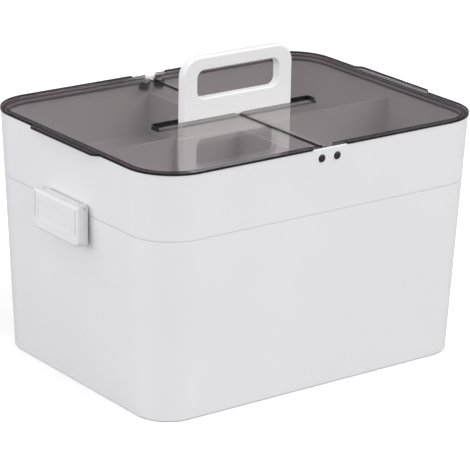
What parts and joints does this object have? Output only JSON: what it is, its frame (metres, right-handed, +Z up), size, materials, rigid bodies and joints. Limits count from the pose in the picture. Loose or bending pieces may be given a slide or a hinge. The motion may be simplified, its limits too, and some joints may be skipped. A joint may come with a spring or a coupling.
{
  "type": "first aid box",
  "caption": "Two-level plastic first aid box: deep lower box, lift-off tray with four compartments, two hinged clear lids, an upright carrying handle and side clips.",
  "frame": {"origin": "middle of the underside, at the base of the box", "axes": "+X to the right along the long side, across the two lids; +Y to the back; +Z up"},
  "size_m": [0.3406, 0.2466, 0.2495],
  "materials": {
    "white_plastic": "fine moulded satin",
    "smoked_plastic": "clear smoked, glossy",
    "pin_plastic": "dark, glossy",
    "steel": "plated"
  },
  "bodies": {
    "box": {"lower_box": "white_plastic"},
    "tray": {"upper_tray": "white_plastic", "handle": "white_plastic", "handle_screw_left": "steel", "handle_screw_right": "steel"},
    "left_lid": {"lid_left": "smoked_plastic", "lid_pin_front_left": "pin_plastic", "lid_pin_back_left": "pin_plastic"},
    "right_lid": {"lid_right": "smoked_plastic", "lid_pin_front_right": "pin_plastic", "lid_pin_back_right": "pin_plastic"},
    "left_clip": {"clip_left": "white_plastic", "clip_pin_left": "steel"},
    "right_clip": {"clip_right": "white_plastic", "clip_pin_right": "steel"}
  },
  "joints": [
    {"name": "tray_lift", "type": "slide", "parent": "box", "child": "tray", "axis": [0, 0, 1], "range_m": [0, 0.09]},
    {"name": "lid_left_turn", "type": "hinge", "parent": "tray", "child": "left_lid", "pos_m": [-0.00745, 0, 0.1924], "axis": [0, 1, 0], "range_deg": [0, 75]},
    {"name": "lid_right_turn", "type": "hinge", "parent": "tray", "child": "right_lid", "pos_m": [0.00745, 0, 0.1924], "axis": [0, -1, 0], "range_deg": [0, 75]},
    {"name": "clip_left_turn", "type": "hinge", "parent": "tray", "child": "left_clip", "pos_m": [-0.1614, 0, 0.153], "axis": [0, 1, 0], "range_deg": [0, 90]},
    {"name": "clip_right_turn", "type": "hinge", "parent": "tray", "child": "right_clip", "pos_m": [0.1614, 0, 0.153], "axis": [0, -1, 0], "range_deg": [0, 90]}
  ]
}
